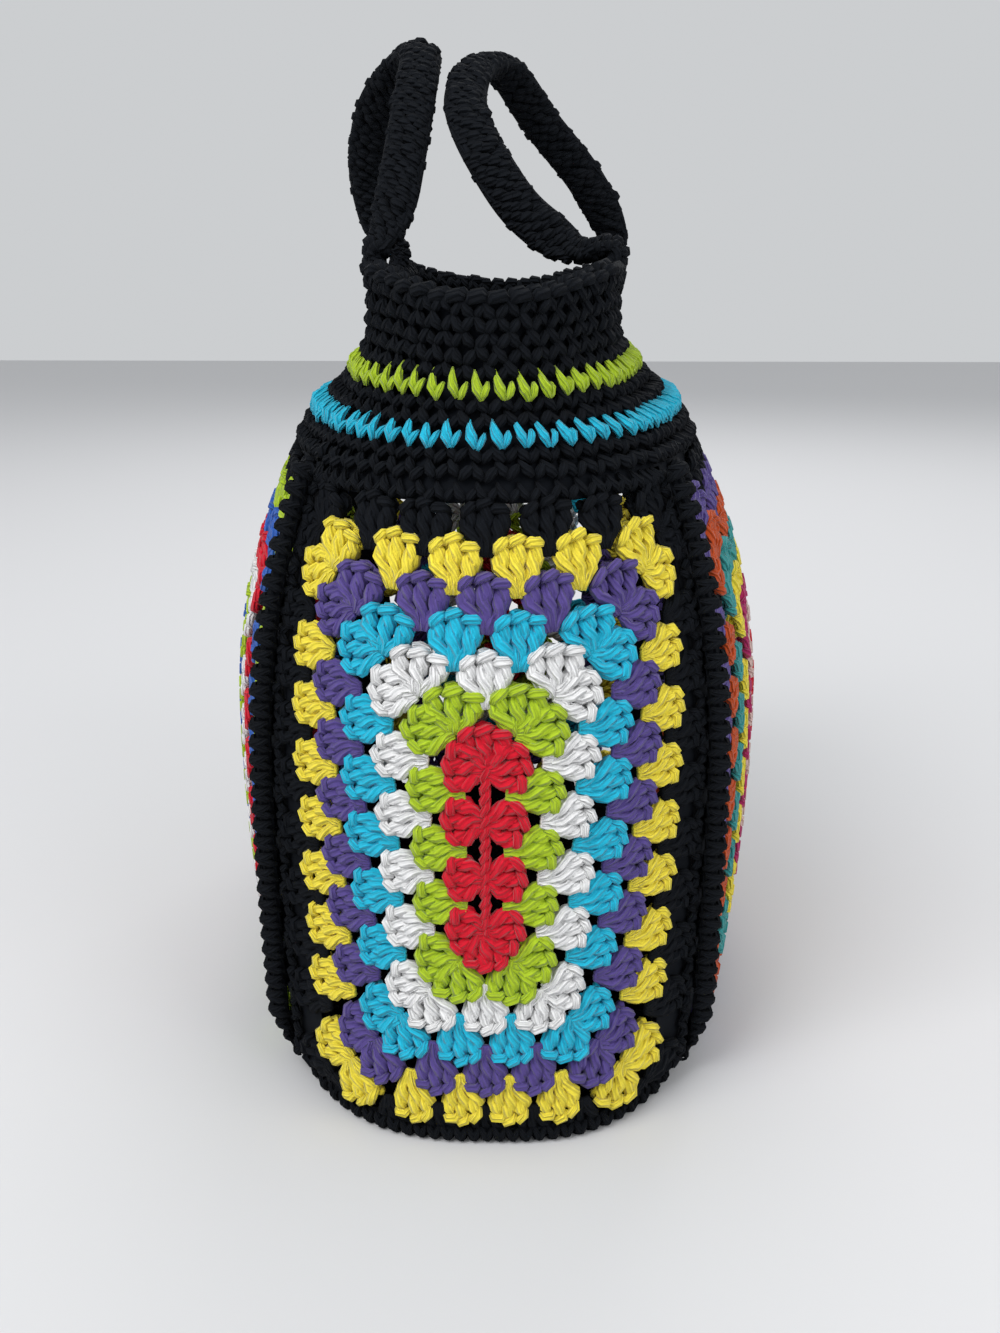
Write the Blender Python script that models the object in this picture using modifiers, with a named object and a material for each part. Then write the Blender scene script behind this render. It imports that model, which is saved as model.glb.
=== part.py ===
"""A crocheted tote bag of worsted cotton.

Two narrow end panels and two wide side panels, each worked from its centre outwards in rounds of
treble clusters, are joined by raised seams to a black base. A black band of short stitches with a
cyan and a lime row gathers the top into a narrow mouth, and carries a strap handle on each side.

Metres, +Z up. The bag stands on the table with its middle over the origin. The near end faces -Y.
"""

import math

import bpy
from mathutils import Vector

MM = 0.001

# Yarn and gauge
FABRIC = 4.2 * MM  # thickness of the crocheted fabric
CLUSTER = 18.2 * MM  # pitch of the clusters along a round
ROUND = 10.7 * MM  # height of one round of clusters
VALLEY = 2.0 * MM  # dip in a round's outer edge between two clusters
CORNER_DIP = 1.4 * MM  # the same dip at the corner of a round
CORNER_LEAN = 1.5 * MM  # how far the feet of the two corner clusters stand apart from the corner
NOTCH = 4.6 * MM  # how far the see-through gap between two clusters reaches into their round
CORNER_SPACE = 3.2 * MM  # how far the corner gap reaches into its round
CLEAR = 0.3 * MM  # between pieces that touch
ROUGHNESS = 0.9  # of matt cotton
TIP_CLEAR = 2 * CLEAR  # between a cluster's foot and the dip that it is worked into
FOLD_CLEAR = 3.0 * MM  # the same in the rounds that lie on the fold to the base

# Panels, in flat fabric
END_ROUNDS = 6  # coloured rounds of an end panel
SIDE_ROUNDS = 9  # coloured rounds of a side panel
OPEN_ROUNDS = 7  # rounds from the centre whose gaps go right through
SPINE_CLUSTERS = 3  # clusters that the end panel's centre chain adds to its height
SPINE_WIDTH = 2.6 * MM
SPINE_STEPS = 4  # facets up the centre chain
FOLD_ROUND = 5  # the rounds from here outwards reach the fold to the base
EDGING = 5.0 * MM  # row of short stitches round an end panel
SEAM_HOLD = 1.3 * MM  # panels stop this short of the line of a corner seam
BASE_HOLD = 5.8 * MM  # and this short of the line of the base seam

# Heights
BELLY_HEIGHT = 95 * MM  # where the bag is widest
PANEL_TOP = 186 * MM  # where the panels end and the band starts
BAND_HEIGHT = 47 * MM
RIM_HEIGHT = PANEL_TOP + BAND_HEIGHT
RIM_LIFT = 5 * MM  # the handles pull the rim up at their feet
END_DIP = 0.4  # share of that lift by which the rim sinks in the middle of an end
BEND = 10 * MM  # radius of the fold from wall to base

# Half widths of the middle of the fabric, in upright lines. Each line has its widest half width
# (belly), what that loses at the table (foot) and at the top of the panels (shoulder), its half
# width at the rim and what the waist below the rim draws in. under is how far the panel runs on
# below the base. curl is the power of the curve into the band, and over 1 it leaves a shoulder.
END_MIDDLE = dict(belly=134 * MM, foot=0 * MM, shoulder=14 * MM, rim=111 * MM, waist=2 * MM,
                  under=2 * MM, curl=1.0)
SIDE_MIDDLE = dict(belly=85 * MM, foot=9 * MM, shoulder=23 * MM, rim=37 * MM, waist=3 * MM,
                   under=2 * MM, curl=2.0)
CORNER_LENGTH = dict(belly=98 * MM, foot=1 * MM, shoulder=8 * MM, rim=87 * MM, waist=1 * MM,
                     under=2 * MM, curl=1.0)
NEAR_CORNER = dict(belly=61 * MM, foot=3 * MM, shoulder=15 * MM, rim=31 * MM, waist=3 * MM,
                   under=2 * MM, curl=1.0)
FAR_CORNER = dict(belly=63 * MM, foot=4 * MM, shoulder=14 * MM, rim=38 * MM, waist=3 * MM,
                  under=2 * MM, curl=1.2)
END_CROWN = 2.0  # power of the curve across an end panel
FOOT_CROWN = 3.2  # the same at the table, where the panel is flatter in its middle
SIDE_CROWN = 2.1
SHOULDER_CURVE = 2.2
SLOPE_STEP = 0.002  # share of a face over which its direction is measured
FULLNESS = 0.44  # how much fuller an end panel lies in its middle than at its corners, at its top
FULLNESS_CURVE = 1.7  # power with which that fades towards the table

# Band, in rows of short stitches from the panels up to the rim
BAND_ROWS = [("band_lower_rows", 2, "black"), ("band_cyan_row", 1, "cyan"),
             ("band_middle_rows", 2, "black"), ("band_lime_row", 1, "lime"), ("band_rim_rows", 5, "black")]
FLAT_ROWS = 2  # up to this many rows of one piece are modelled without a bend between them
END_FACETS = 7  # of the band across an end
SIDE_FACETS = 9  # and along a side

# Seams
BRAID_RADIUS = 3.0 * MM
BRAID_STITCH = 8.5 * MM
BRAID_SWELL = {0: 0.85, 1: 1.1}  # the braid is thin and thick by turns
BRAID_SEAT = 0.5 * MM  # how far the braid sinks between the two edges it joins
BRAID_START = 0.065  # share of the panel height where a braid begins
BRAID_END = 0.985
NEAR_CORNER_SHARE = 0.99  # place across a panel where the direction beside a corner is taken
BASE_SEAM_WIDTH = 4.0 * MM
# The side panel that meets an end panel at each of its upright edges
NEIGHBOUR = {("near", 1): ("right", -1), ("near", -1): ("left", 1),
             ("far", 1): ("left", -1), ("far", -1): ("right", 1)}

# Handles
STRAP_WIDTH = 14 * MM
STRAP_THICKNESS = 5.5 * MM
STRAP_STATIONS = 30
STRAP_SCALLOP = 0.6 * MM
STRAP_TURN = math.radians(90)  # from edge-on at its feet to flat
STRAP_TWIST = 0.22  # share of a strap's length over which it makes that turn
ROUTE_STEPS = 16  # points to each leg of a route when it is measured
# Routes of the two straps over the mouth, from the near foot to the far foot, with heights above
# the rim. Both lean inwards.
RIGHT_ROUTE = [(24, -48, 11), (9, -46, 21), (-2, -42, 36), (-8, -34, 48), (-9, -22, 57), (-6, -8, 65),
               (1, 8, 66), (11, 20, 51), (22, 30, 33), (31, 41, 16)]
LEFT_ROUTE = [(-33, -48, 12), (-29, -45, 24), (-26.5, -37, 39), (-24.5, -25, 55), (-23.5, -8, 68),
              (-25.5, 6, 70), (-30, 18, 65), (-35, 27, 55), (-38, 36, 39), (-38, 43, 22)]
STRAP_FOOT_Y = 48 * MM  # the feet of a strap, before and behind the middle of its side

COLOURS = {
    "black": (0.006, 0.008, 0.012), "red": (0.62, 0.006, 0.025), "lime": (0.40, 0.55, 0.025),
    "white": (0.80, 0.80, 0.81), "cyan": (0.022, 0.46, 0.65), "purple": (0.10, 0.068, 0.27),
    "yellow": (0.83, 0.67, 0.07), "orange": (0.58, 0.08, 0.013), "teal": (0.043, 0.33, 0.33),
    "magenta": (0.46, 0.022, 0.14), "pink": (0.74, 0.53, 0.48), "blue": (0.028, 0.115, 0.48),
}
# From the centre outwards
END_COLOURS = ["red", "lime", "white", "cyan", "purple", "yellow"]
RIGHT_COLOURS = ["yellow", "teal", "red", "pink", "magenta", "yellow", "teal", "orange", "purple"]
LEFT_COLOURS = ["white", "yellow", "red", "blue", "lime", "white", "red", "blue", "lime"]

for old in list(bpy.data.objects):
    bpy.data.objects.remove(old, do_unlink=True)
bag = bpy.data.collections.new("crochet_tote_bag")
bpy.context.scene.collection.children.link(bag)


def yarn(colour):
    """The matt cotton of one colour."""
    name = colour + "_cotton"
    if name in bpy.data.materials:
        return bpy.data.materials[name]
    material = bpy.data.materials.new(name)
    material.use_nodes = True
    shader = material.node_tree.nodes["Principled BSDF"]
    shader.inputs["Base Color"].default_value = (*COLOURS[colour], 1)
    shader.inputs["Roughness"].default_value = ROUGHNESS
    shader.inputs["Metallic"].default_value = 0.0
    material.diffuse_color = (*COLOURS[colour], 1)
    return material


def place(name, data, colour):
    """Puts a mesh or curve into the bag's collection as a named piece."""
    piece = bpy.data.objects.new(name, data)
    piece.data.materials.append(yarn(colour))
    bag.objects.link(piece)
    return piece


def fabric_piece(name, points, faces, colour, thickness=FABRIC):
    """An open sheet of fabric with its thickness added evenly to both sides."""
    mesh = bpy.data.meshes.new(name)
    mesh.from_pydata(points, [], faces)
    mesh.validate()
    piece = place(name, mesh, colour)
    solidify = piece.modifiers.new("thickness", "SOLIDIFY")
    solidify.thickness = thickness
    solidify.offset = 0.0
    return piece


def rise(share, under):
    """How far inside its widest line, and how high, the wall is at this share of a panel's height."""
    fold = BEND * math.pi / 2
    way = share * (under + fold + PANEL_TOP - BEND - FABRIC / 2)
    if way < under:
        return BEND + under - way, FABRIC / 2
    if way < under + fold:
        turn = (way - under) / BEND
        return BEND * (1 - math.sin(turn)), FABRIC / 2 + BEND * (1 - math.cos(turn))
    return 0.0, FABRIC / 2 + BEND + way - under - fold


def line(track, height):
    """Half width and height on one upright line of the wall: 0 to 1 up the panels, 1 to 2 up the band."""
    top = track["belly"] - track["shoulder"]
    if height > 1:
        up = height - 1
        gather = 1 - (1 - up ** track["curl"]) ** (2 * track["curl"])
        waist = track["waist"] * math.sin(math.pi * up)
        return top + (track["rim"] - top) * gather - waist, PANEL_TOP + up * BAND_HEIGHT
    inset, z = rise(height, track["under"])
    if z < BELLY_HEIGHT:
        out = track["belly"] - track["foot"] * (1 - z / BELLY_HEIGHT) ** 2
    else:
        up = (z - BELLY_HEIGHT) / (PANEL_TOP - BELLY_HEIGHT)
        out = track["belly"] - track["shoulder"] * up ** SHOULDER_CURVE
    return out - inset, z


def wall(face, across, height):
    """A point in the middle of the fabric of one face, from -1 to 1 across it and 0 to 2 up it."""
    reach = abs(across)
    if face in ("near", "far"):
        x_corner, z_corner = line(NEAR_CORNER if face == "near" else FAR_CORNER, height)
        y_corner, _ = line(CORNER_LENGTH, height)
        y_middle, z_middle = line(END_MIDDLE, height)
        crown = END_CROWN + (FOOT_CROWN - END_CROWN) * max(0, 1 - 2 * height) ** 2
        y = y_corner + (y_middle - y_corner) * (1 - reach ** crown)
        lift = RIM_LIFT * ((1 + END_DIP) * reach ** 2 - END_DIP)
        point = Vector((across * x_corner, -y, 0)) if face == "near" else Vector((-across * x_corner, y, 0))
    else:
        towards_near = (across < 0) == (face == "right")
        x_corner, z_corner = line(NEAR_CORNER if towards_near else FAR_CORNER, height)
        y_corner, _ = line(CORNER_LENGTH, height)
        x_middle, z_middle = line(SIDE_MIDDLE, height)
        x = x_corner + (x_middle - x_corner) * (1 - reach ** SIDE_CROWN)
        lift = RIM_LIFT * min(1, reach * y_corner / STRAP_FOOT_Y) ** 2
        point = Vector((x, across * y_corner, 0)) if face == "right" else Vector((-x, -across * y_corner, 0))
    point.z = z_middle + (z_corner - z_middle) * reach ** 2 + lift * max(0, height - 1) ** 2
    return point


def lay(face, across, up, half_width, half_height):
    """The point of the wall at a place in flat fabric, measured from the middle of the panel."""
    height = 0.5 + up / (2 * half_height)
    share = across / half_width
    if face in ("near", "far"):
        full = FULLNESS * max(height, 0) ** FULLNESS_CURVE
        share *= 1 + full * (1 - (across / (half_width - SEAM_HOLD)) ** 2)
    return wall(face, share, height)


def outward(face, across, height):
    """The direction out of the bag at a point of its wall."""
    over = wall(face, across + SLOPE_STEP, height) - wall(face, across - SLOPE_STEP, height)
    up = wall(face, across, height + SLOPE_STEP) - wall(face, across, height - SLOPE_STEP)
    return over.cross(up).normalized()


def side_of_round(cells, number, spine, opened, rim, foot_clear):
    """Stations along one side of a round, from corner to corner, as (outer point, inner point) pairs.

    Points are (along, out). The corner comes first, then each cluster's middle and the dip after it.
    spine is what the centre chain adds to this side's half length. rim is None, or for a border the
    straight edge that it ends at, as (how far along, how far out).
    """
    inner, outer = (number - 1) * ROUND, number * ROUND
    peak, dip, corner = outer - 2 * CLEAR, outer - VALLEY, outer - CORNER_DIP
    corner_along = corner + spine
    if rim:
        corner_along, peak = rim
        dip = corner = peak
    foot = inner - VALLEY + foot_clear if inner else SPINE_WIDTH / 2 + 2 * CLEAR
    closed = inner + foot_clear / 2 + (CLEAR if rim else 0)
    gap = inner + NOTCH if opened else closed
    corner_gap = inner + CORNER_SPACE if opened else closed
    stations = [((-corner_along, corner), (-corner_gap - spine, corner_gap))]
    for cell in range(cells):
        start = (cell - cells / 2) * CLUSTER if cell else -corner_along
        end = (cell + 1 - cells / 2) * CLUSTER if cell < cells - 1 else corner_along
        middle = (start + end) / 2
        into = (middle, closed)
        if opened and inner and cells > 1 and cell in (0, cells - 1):
            into = (math.copysign(inner + spine - CORNER_LEAN, middle), inner - CORNER_DIP + foot_clear)
        elif opened:
            into = (middle, foot)
        stations.append((None if rim else (middle, peak), into))
        if cell < cells - 1:
            stations.append(((end, dip), (end, gap)))
    return stations


def turned(side, along, out, spine):
    """From a side's (along, out) to the panel's (across, up). Sides run bottom, right, top, left."""
    return [(along, -out - spine), (out, along), (-along, out + spine), (-out, -along)][side]


def round_of_clusters(name, face, number, spine, half_width, half_height, last, opened, colour):
    """One round of clusters as a ring of fabric, laid on its face of the bag."""
    more = round(2 * spine / CLUSTER)
    bottom, wide, top = half_height - BASE_HOLD, half_width - SEAM_HOLD, half_height - 2 * CLEAR
    points, ring = [], []

    def vertex(side, place):
        if place is None:
            return None
        across, up = turned(side, *place, 0 if side % 2 else spine)
        points.append(lay(face, across, up, half_width, half_height))
        return len(points) - 1

    for side, far_out in enumerate((bottom - spine, wide, top - spine, wide)):
        upright = side % 2
        begins = {0: wide, 1: bottom, 2: wide, 3: top}[side]  # how far along its first corner is
        pairs = side_of_round(number + more * upright, number, spine * upright, opened,
                              (begins, far_out) if last else None,
                              FOLD_CLEAR if side == 0 and number >= FOLD_ROUND else TIP_CLEAR)
        ring += [(vertex(side, out), vertex(side, into)) for out, into in pairs]
    faces = []
    for start in range(0, len(ring), 2):
        before, middle, after = ring[start], ring[start + 1], ring[(start + 2) % len(ring)]
        cell = [before[0], middle[0], after[0], after[1], middle[1], before[1]]
        faces.append([corner for corner in cell if corner is not None])
    return fabric_piece(name, points, faces, colour)


def panel(label, face, colours, spine, half_width, half_height, opened):
    """A panel of one face: its coloured rounds and its black border."""
    for number, colour in enumerate(colours, start=1):
        round_of_clusters(f"{label}_round_{number}_{colour}", face, number, spine, half_width, half_height,
                          False, number <= opened, colour)
    round_of_clusters(f"{label}_border", face, len(colours) + 1, spine, half_width, half_height,
                      True, False, "black")


def centre_chain(name, face, spine, half_width, half_height, colour):
    """The chain that an end panel's first round is worked into."""
    points, faces = [], []
    for step in range(SPINE_STEPS + 1):
        up = (2 * step / SPINE_STEPS - 1) * spine
        points += [lay(face, side * SPINE_WIDTH / 2, up, half_width, half_height) for side in (-1, 1)]
        if step:
            faces.append([2 * step - 2, 2 * step - 1, 2 * step + 1, 2 * step])
    return fabric_piece(name, points, faces, colour)


def around(height):
    """Points once round the bag at one height."""
    loop = []
    for face in ("near", "right", "far", "left"):
        steps = END_FACETS if face in ("near", "far") else SIDE_FACETS
        for step in range(steps):
            loop.append(wall(face, 2 * step / steps - 1, height))
    return loop


def belt(name, heights, colour):
    """A band of fabric that goes right round the bag between the first and the last height."""
    loops = [around(height) for height in heights]
    count = len(loops[0])
    points = [point for loop in loops for point in loop]
    faces = []
    for row in range(len(loops) - 1):
        for step in range(count):
            after = (step + 1) % count
            faces.append([row * count + step, row * count + after, (row + 1) * count + after,
                          (row + 1) * count + step])
    return fabric_piece(name, points, faces, colour)


def band():
    """The gathered band, row by row up to the rim."""
    total = sum(rows for _, rows, _ in BAND_ROWS)
    gap = CLEAR / BAND_HEIGHT
    done = 0
    for name, rows, colour in BAND_ROWS:
        low, high = 1 + done / total + gap, 1 + (done + rows) / total - gap
        levels = [low, high] if rows <= FLAT_ROWS else [low, (low + high) / 2, high]
        belt(name, levels, colour)
        done += rows


def flat_loop(inward):
    """The line of the base seam in the plane of the base, moved this far inwards."""
    loop = around(0)
    moved = []
    for step, point in enumerate(loop):
        tangent = (loop[(step + 1) % len(loop)] - loop[step - 1]).normalized()
        moved.append(point + Vector((-tangent.y, tangent.x, 0)) * inward)
    return moved


def base():
    """The flat base and the seam round it."""
    outer, inner = flat_loop(-BASE_SEAM_WIDTH / 2), flat_loop(BASE_SEAM_WIDTH / 2)
    count = len(outer)
    faces = [[count + step, count + (step + 1) % count, (step + 1) % count, step] for step in range(count)]
    fabric_piece("base_seam", outer + inner, faces, "black")

    outline = bpy.data.curves.new("base_panel", "CURVE")
    outline.dimensions = "2D"
    outline.fill_mode = "BOTH"
    outline.extrude = FABRIC / 2
    edge = flat_loop(BASE_SEAM_WIDTH / 2 + CLEAR)
    spline = outline.splines.new("POLY")
    spline.points.add(len(edge) - 1)
    for knot, point in zip(spline.points, edge):
        knot.co = (point.x, point.y, 0, 1)
    spline.use_cyclic_u = True
    piece = place("base_panel", outline, "black")
    piece.location.z = FABRIC / 2


def corner_seam(name, face, across):
    """A raised braid up one corner of the bag, which stands on the edges of two panels."""
    other, other_across = NEIGHBOUR[face, across]
    stitches = round(PANEL_TOP * (BRAID_END - BRAID_START) / BRAID_STITCH)
    stand = FABRIC / 2 - BRAID_SEAT + BRAID_RADIUS * max(BRAID_SWELL.values())
    braid = bpy.data.curves.new(name, "CURVE")
    braid.dimensions = "3D"
    braid.bevel_depth = BRAID_RADIUS
    braid.bevel_resolution = 1
    braid.use_fill_caps = True
    spline = braid.splines.new("POLY")
    spline.points.add(stitches)
    for stitch, knot in enumerate(spline.points):
        height = BRAID_START + (BRAID_END - BRAID_START) * stitch / stitches
        out = (outward(face, across * NEAR_CORNER_SHARE, height)
               + outward(other, other_across * NEAR_CORNER_SHARE, height))
        point = wall(face, across, height) + out.normalized() * stand
        knot.co = (*point, 1)
        knot.radius = BRAID_SWELL[stitch % 2]
    return place(name, braid, "black")


def smooth_route(points, count):
    """Evenly spaced points on a smooth curve through the route's own points."""
    dense = []
    for leg in range(len(points) - 1):
        before = points[max(leg - 1, 0)]
        start, end = points[leg], points[leg + 1]
        after = points[min(leg + 2, len(points) - 1)]
        for part in range(ROUTE_STEPS):
            t = part / ROUTE_STEPS
            dense.append(0.5 * (2 * start + (end - before) * t
                                + (2 * before - 5 * start + 4 * end - after) * t ** 2
                                + (3 * start - before - 3 * end + after) * t ** 3))
    dense.append(points[-1])
    ways = [0.0]
    for start, end in zip(dense, dense[1:]):
        ways.append(ways[-1] + (end - start).length)
    even, at = [], 0
    for step in range(count):
        way = ways[-1] * step / (count - 1)
        while at < len(ways) - 2 and ways[at + 1] < way:
            at += 1
        part = (way - ways[at]) / (ways[at + 1] - ways[at])
        even.append(dense[at].lerp(dense[at + 1], part))
    return even


def handle(name, face, route):
    """A strap that stands on the rim of one side and twists so that its flat face lies on top."""
    out = 1 if face == "right" else -1
    feet = []
    for end in (-1, 1):
        rim_corner, _ = line(CORNER_LENGTH, 2)
        across = out * end * STRAP_FOOT_Y / rim_corner
        feet.append(wall(face, across, 2) + Vector((0, 0, 2 * CLEAR)))
    bend = [Vector(point) * MM + Vector((0, 0, RIM_HEIGHT)) for point in route]
    start = Vector((0, 0, STRAP_THICKNESS))
    path = smooth_route([feet[0], feet[0] + start] + bend + [feet[1] + start, feet[1]], STRAP_STATIONS)
    points, faces = [], []
    for step, point in enumerate(path):
        share = step / (STRAP_STATIONS - 1)
        tangent = (path[min(step + 1, STRAP_STATIONS - 1)] - path[max(step - 1, 0)]).normalized()
        twist = min(1, share / STRAP_TWIST, (1 - share) / STRAP_TWIST)
        turn = STRAP_TURN * (1 - twist * twist * (3 - 2 * twist))
        ahead = -1 if share < 0.5 else 1
        width = Vector((-math.cos(turn), out * ahead * math.sin(turn), 0))
        width = (width - tangent * width.dot(tangent)).normalized()
        half = STRAP_WIDTH / 2 - (STRAP_SCALLOP if step % 2 else 0)
        points += [point - width * half, point + width * half]
        if step:
            faces.append([2 * step - 2, 2 * step - 1, 2 * step + 1, 2 * step])
    return fabric_piece(name, points, faces, "black", STRAP_THICKNESS)


spine = SPINE_CLUSTERS * CLUSTER / 2
end_half_width = (END_ROUNDS + 1) * ROUND + EDGING
end_half_height = end_half_width + spine
side_half = (SIDE_ROUNDS + 1) * ROUND
for label, face in (("near_end", "near"), ("far_end", "far")):
    centre_chain(f"{label}_centre_chain", face, spine, end_half_width, end_half_height, "red")
    panel(label, face, END_COLOURS, spine, end_half_width, end_half_height, OPEN_ROUNDS)
panel("right_side", "right", RIGHT_COLOURS, 0, side_half, side_half, OPEN_ROUNDS)
panel("left_side", "left", LEFT_COLOURS, 0, side_half, side_half, OPEN_ROUNDS)
for face, across, name in (("near", -1, "near_left"), ("near", 1, "near_right"),
                           ("far", 1, "far_left"), ("far", -1, "far_right")):
    corner_seam(f"corner_seam_{name}", face, across)
base()
band()
handle("handle_left", "left", LEFT_ROUTE)
handle("handle_right", "right", RIGHT_ROUTE)
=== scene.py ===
# %% [markdown]
# A crocheted tote bag, built strand by strand over its CAD solids.
# The solids give the size and the form. Every piece of fabric is replaced by the yarn that makes it: trebles in
# clusters of three on the four panels, short stitches on the band, braids on the seams, and two strap handles.
# A bump map on plain sheets would be cheaper, but crochet is seen through its gaps and in its outline, so the
# stitches are real geometry here.

# %% Load the frame
import math

import bpy
import numpy as np
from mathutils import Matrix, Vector


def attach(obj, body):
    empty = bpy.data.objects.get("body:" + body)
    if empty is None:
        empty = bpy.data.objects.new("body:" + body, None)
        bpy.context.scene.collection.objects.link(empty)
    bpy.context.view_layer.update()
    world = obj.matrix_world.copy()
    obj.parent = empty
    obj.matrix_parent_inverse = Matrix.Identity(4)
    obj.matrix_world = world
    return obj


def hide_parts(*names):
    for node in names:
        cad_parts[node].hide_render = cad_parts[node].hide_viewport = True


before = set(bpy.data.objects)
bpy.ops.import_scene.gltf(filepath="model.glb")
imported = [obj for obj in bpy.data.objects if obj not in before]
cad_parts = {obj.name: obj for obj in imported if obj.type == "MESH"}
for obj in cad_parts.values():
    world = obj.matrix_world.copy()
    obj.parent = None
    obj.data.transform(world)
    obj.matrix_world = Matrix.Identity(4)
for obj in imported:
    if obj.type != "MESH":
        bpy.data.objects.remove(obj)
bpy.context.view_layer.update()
rng = np.random.default_rng(7)

# %% [markdown]
# The wall of the bag is one surface. Four faces meet at the corners, each from -1 to 1 across, and the height runs
# from 0 at the base seam over 1 at the top of the panels to 2 at the rim. A sculpted mesh could hold the same form,
# but a formula gives a point and a direction out of the bag for any place in the flat fabric, and so the crochet can
# be worked out flat and then laid on it. These are the sizes of the solids, in millimetres, so that yarn laid on this
# surface covers them.

# %% The bag's surface
FABRIC, CLUSTER, ROUND, EDGING = 4.2, 18.2, 10.7, 5.0  # thickness, width of a cluster, height of a round, edging
SPINE = 3 * CLUSTER / 2  # half of the chain that an end panel starts from
BELLY_HEIGHT, PANEL_TOP, RIM_HEIGHT, RIM_LIFT, BEND = 95, 186, 233, 5, 10
# for each upright line: half widths at the belly and at the rim, how much its foot and its shoulder draw in from the
# belly, the waist of the band, the flat run under the bag, and how suddenly the band is gathered
END_MIDDLE = dict(belly=134, foot=0, shoulder=14, rim=111, waist=2, under=2, curl=1.0)
SIDE_MIDDLE = dict(belly=85, foot=9, shoulder=23, rim=37, waist=3, under=2, curl=2.0)
CORNER_LENGTH = dict(belly=98, foot=1, shoulder=8, rim=87, waist=1, under=2, curl=1.0)
NEAR_CORNER = dict(belly=61, foot=3, shoulder=15, rim=31, waist=3, under=2, curl=1.0)
FAR_CORNER = dict(belly=63, foot=4, shoulder=14, rim=38, waist=3, under=2, curl=1.2)
END_CROWN, FOOT_CROWN, SIDE_CROWN, SHOULDER_CURVE, STRAP_FOOT_Y = 2.0, 3.2, 2.1, 2.2, 48
FULLNESS, FULLNESS_CURVE, SEAM_HOLD = 0.44, 1.7, 1.3  # the end panels' cloth is spread out towards the top
STEP = 0.004  # between the neighbours that give a direction on the wall
END_SIZE = (7 * ROUND + EDGING, 7 * ROUND + EDGING + SPINE)
SIDE_SIZE = (10 * ROUND, 10 * ROUND)


def line(track, height):
    """Half width and height on an upright line of the wall."""
    fold = BEND * math.pi / 2
    way = np.clip(height, 0, 1) * (track["under"] + fold + PANEL_TOP - BEND - FABRIC / 2)
    turn = np.clip((way - track["under"]) / BEND, 0, math.pi / 2)
    inset = BEND * (1 - np.sin(turn)) + np.maximum(track["under"] - way, 0)
    z = FABRIC / 2 + BEND * (1 - np.cos(turn)) + np.maximum(way - track["under"] - fold, 0)
    low = track["belly"] - track["foot"] * (1 - z / BELLY_HEIGHT) ** 2
    up = np.clip((z - BELLY_HEIGHT) / (PANEL_TOP - BELLY_HEIGHT), 0, 1)
    out = np.where(z < BELLY_HEIGHT, low, track["belly"] - track["shoulder"] * up ** SHOULDER_CURVE) - inset
    top = track["belly"] - track["shoulder"]
    up = np.clip(height - 1, 0, 1)
    gather = 1 - (1 - up ** track["curl"]) ** (2 * track["curl"])
    drawn = top + (track["rim"] - top) * gather - track["waist"] * np.sin(math.pi * up)
    z_band = PANEL_TOP + (height - 1) * (RIM_HEIGHT - PANEL_TOP)
    return np.where(height > 1, drawn, out), np.where(height > 1, z_band, z)


def wall(face, across, height):
    """Points in the middle of the fabric of one face."""
    reach = np.abs(across)
    y_corner, _ = line(CORNER_LENGTH, height)
    if face in ("near", "far"):
        x_corner, z_corner = line(NEAR_CORNER if face == "near" else FAR_CORNER, height)
        y_middle, z_middle = line(END_MIDDLE, height)
        crown = END_CROWN + (FOOT_CROWN - END_CROWN) * np.maximum(0, 1 - 2 * height) ** 2
        y = y_corner + (y_middle - y_corner) * (1 - reach ** crown)
        lift = RIM_LIFT * (1.4 * reach ** 2 - 0.4)
        sign = 1 if face == "near" else -1
        x, y = sign * across * x_corner, -sign * y
    else:
        sign = 1 if face == "right" else -1
        x_near, z_near = line(NEAR_CORNER, height)
        x_far, z_far = line(FAR_CORNER, height)
        towards_near = sign * across < 0
        x_corner, z_corner = np.where(towards_near, x_near, x_far), np.where(towards_near, z_near, z_far)
        x_middle, z_middle = line(SIDE_MIDDLE, height)
        x = sign * (x_corner + (x_middle - x_corner) * (1 - reach ** SIDE_CROWN))
        lift = RIM_LIFT * np.minimum(1, reach * y_corner / STRAP_FOOT_Y) ** 2
        y = sign * across * y_corner
    z = z_middle + (z_corner - z_middle) * reach ** 2 + lift * np.maximum(0, height - 1) ** 2
    return np.stack([x, y, z], axis=-1)


def unit(vectors):
    """The same directions with length 1."""
    return vectors / np.maximum(np.linalg.norm(vectors, axis=-1, keepdims=True), 1e-9)


def outward(face, across, height):
    """The direction out of the bag at points of its wall."""
    over = wall(face, across + STEP, height) - wall(face, across - STEP, height)
    up = wall(face, across, height + STEP) - wall(face, across, height - STEP)
    return unit(np.cross(over, up))


for face in ("near", "right", "far", "left"):
    print(face, "middle at the belly", wall(face, np.array(0.0), np.array(0.5)).round(1))

# %% [markdown]
# Worsted cotton is a few plies with a slight twist, so each strand is a tube with six sides. Its UV map holds the
# way along the strand and the turn round it, and the material draws the plies from them. Curve objects with a bevel
# would make the same tubes, but there are thousands of them: here many strands with the same number of points are
# swept in one go, which keeps the script fast.

# %% Strands of yarn
SIDES = 6
CAPS = np.array([[3, 2, 1, 0], [5, 4, 3, 0]])  # two quads close the hexagon at the end of a strand
LONGEST_START = 20.0  # mm; each strand starts at its own place along the fibres of the material
TABLE_GAP = 0.0003  # m; the bag's weight presses its foot flat, just over the table


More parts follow.
